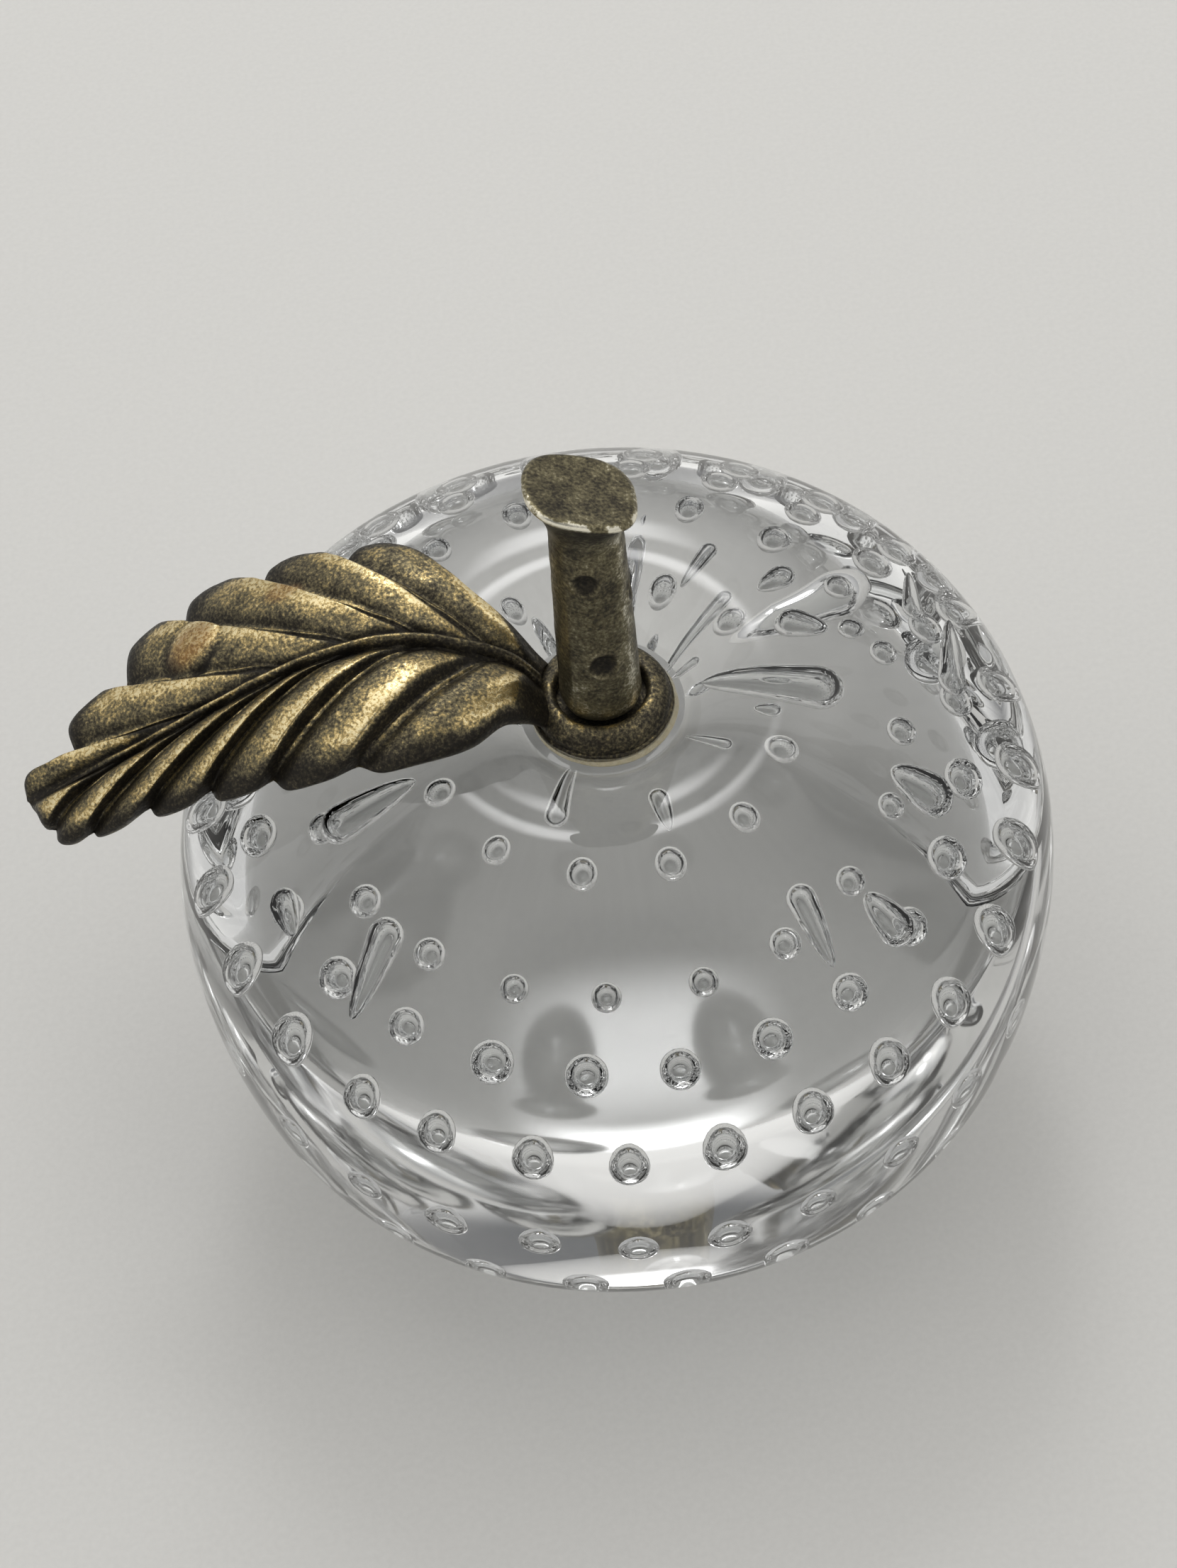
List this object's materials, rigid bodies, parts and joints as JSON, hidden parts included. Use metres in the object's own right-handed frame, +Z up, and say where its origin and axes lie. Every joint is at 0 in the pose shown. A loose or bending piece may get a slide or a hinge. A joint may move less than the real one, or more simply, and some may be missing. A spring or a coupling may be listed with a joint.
{
  "type": "art glass apple",
  "caption": "Clear solid glass apple paperweight with rings of trapped air bubbles, a flat base, and a cast brass leaf and stem cemented in the dimple on top.",
  "frame": {"origin": "centre of the flat base that the apple stands on", "axes": "+Z up along the axis of the glass and the stem, the leaf points to -X, the front is -Y"},
  "size_m": [0.0912, 0.08, 0.0864],
  "materials": {
    "clear_crystal": "polished clear crystal",
    "antique_brass": "antique dark patina with rubbed gold highlights",
    "aged_bronze": "aged grey brown patina with a worn lip",
    "amber_cement": "translucent yellowed resin"
  },
  "bodies": {
    "root": {"glass_body": "clear_crystal", "leaf": "antique_brass", "stem": "aged_bronze", "cement": "amber_cement"}
  },
  "joints": []
}
